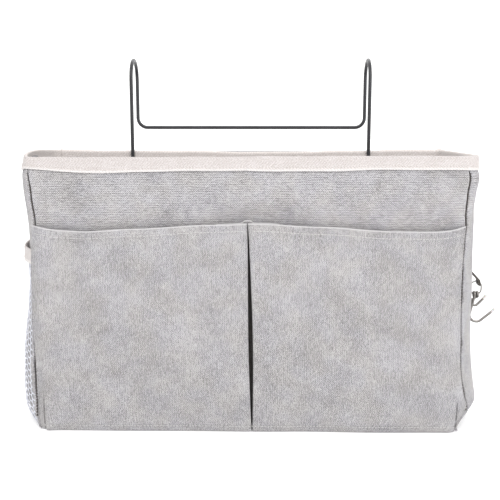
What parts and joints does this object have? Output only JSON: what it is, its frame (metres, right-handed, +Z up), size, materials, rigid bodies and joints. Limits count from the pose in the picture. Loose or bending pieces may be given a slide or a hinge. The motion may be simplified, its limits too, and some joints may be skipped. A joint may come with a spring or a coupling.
{
  "type": "hanging pocket organizer",
  "caption": "Box-shaped canvas organizer with a bound open mouth, a pleated double front pocket, a net end pocket, small hooks, and a bent wire hanger that reaches over a rail.",
  "frame": {"origin": "centre of the pouch's base, on the underside of the bottom panel", "axes": "+X along the pouch to the right end with the hooks, +Y to the back where the wire hanger reaches over the rail, +Z up"},
  "size_m": [0.4667, 0.155, 0.3468],
  "materials": {
    "canvas": "slubby grey linen and cotton plain weave",
    "tape": "cream herringbone cotton tape",
    "net": "white knitted hexagonal net",
    "board": "plain stiffener sheet, sewn in",
    "webbing": "dark brown webbing",
    "wire": "black coated steel wire, semi-gloss",
    "nickel": "nickel-plated wire",
    "tip": "clear-white moulded ball"
  },
  "bodies": {
    "pouch": {"front_panel": "canvas", "back_panel": "canvas", "bottom_panel": "canvas", "left_gusset": "canvas", "right_gusset": "canvas", "back_board": "board", "base_board": "board", "back_lining": "canvas", "bottom_lining": "canvas", "rim_binding": "tape", "front_pocket": "canvas", "net_pocket": "net", "net_pocket_binding": "tape", "hanger_casing": "canvas", "side_tab": "webbing"},
    "hanger": {"hanger_frame": "wire"},
    "link": {"link_ring": "nickel"},
    "long_key_hook": {"long_hook": "nickel", "long_hook_tip": "tip"},
    "short_key_hook": {"short_hook": "nickel", "short_hook_tip": "tip"}
  },
  "joints": [
    {"name": "hanger_fold", "type": "hinge", "parent": "pouch", "child": "hanger", "pos_m": [0, 0.0474, 0.17], "axis": [1, 0, 0], "range_deg": [0, 48]},
    {"name": "link_swing", "type": "hinge", "parent": "pouch", "child": "link", "pos_m": [0.2243, 0.014, 0.1283], "axis": [1, 0, 0], "range_deg": [-45, 45]},
    {"name": "long_hook_swing", "type": "hinge", "parent": "link", "child": "long_key_hook", "pos_m": [0.2228, 0.014, 0.1148], "axis": [1, 0, 0], "range_deg": [-40, 6]},
    {"name": "short_hook_swing", "type": "hinge", "parent": "link", "child": "short_key_hook", "pos_m": [0.2258, 0.014, 0.1148], "axis": [1, 0, 0], "range_deg": [-6, 40]}
  ]
}
